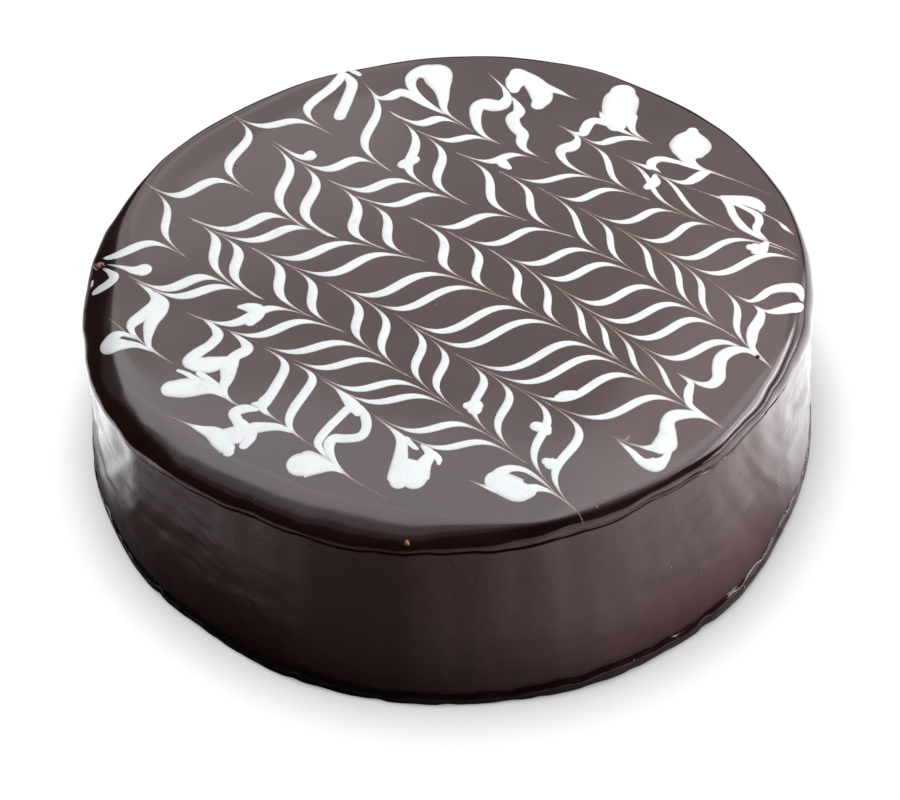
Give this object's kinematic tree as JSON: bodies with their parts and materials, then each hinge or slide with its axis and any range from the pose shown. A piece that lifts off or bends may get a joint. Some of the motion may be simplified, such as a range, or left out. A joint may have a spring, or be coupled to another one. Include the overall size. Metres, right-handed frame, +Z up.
{
  "type": "sachertorte cake",
  "caption": "Round chocolate-glazed cake with a rolled lip, a near-vertical rippled side, a ragged glossy foot and feathered white icing across its flat top.",
  "frame": {"origin": "centre of the flat underside, on the surface that the cake stands on", "axes": "+Z up through the cake, -Y towards the side that the picture shows in front, +X to its right"},
  "size_m": [0.236, 0.236, 0.0615],
  "materials": {
    "glaze": "satin to glossy set chocolate",
    "icing": "smooth white icing drawn into the glaze, with a soft shine"
  },
  "bodies": {
    "root": {"sachertorte": "glaze"}
  },
  "joints": []
}
